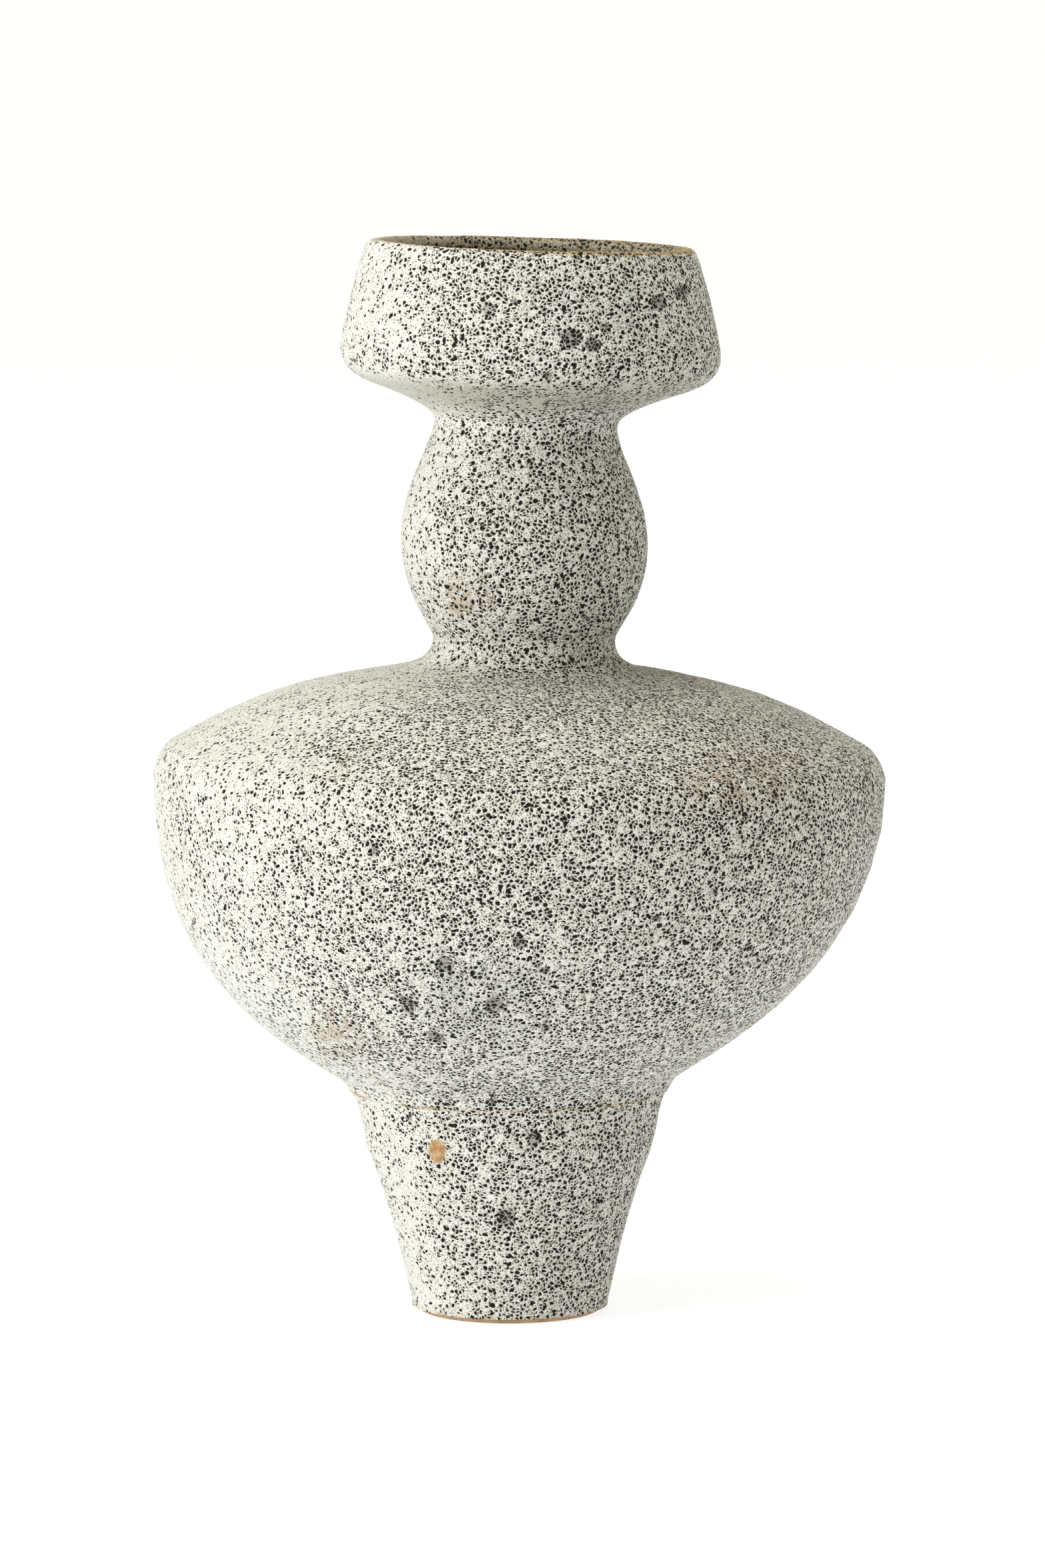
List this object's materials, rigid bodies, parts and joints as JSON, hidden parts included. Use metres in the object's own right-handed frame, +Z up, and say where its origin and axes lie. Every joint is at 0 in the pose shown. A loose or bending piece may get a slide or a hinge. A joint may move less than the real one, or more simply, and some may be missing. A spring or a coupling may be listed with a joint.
{
  "type": "vase",
  "caption": "Wide-bellied stoneware vase on a tapered foot, with a bulbed neck and a broad in-leaning collar, under a pitted crater glaze. It stands free and holds stems or branches.",
  "frame": {"origin": "centre of the standing ring, on the plane of the table", "axes": "+Z up along the throwing axis and out of the mouth; +X to the right and -Y towards the viewer in a front view"},
  "size_m": [0.212, 0.212, 0.31],
  "materials": {
    "stoneware": "matte, bare fired clay",
    "slip": "matte, fired joining slip",
    "crater_glaze": "matte off-white crater glaze with dark open pits",
    "liner_glaze": "satin grey-olive liner"
  },
  "bodies": {
    "root": {"foot_wall_ring": "stoneware", "foot_floor_slab": "stoneware", "belly_bowl": "stoneware", "shoulder_dome": "stoneware", "neck_bulb": "stoneware", "collar_dish": "stoneware", "collar_band": "stoneware", "lip_coil": "stoneware", "floor_slip": "slip", "foot_slip": "slip", "belly_slip": "slip", "neck_slip": "slip", "collar_slip": "slip", "band_slip": "slip", "lip_slip": "slip", "crater_glaze": "crater_glaze", "liner_glaze": "liner_glaze"}
  },
  "joints": []
}
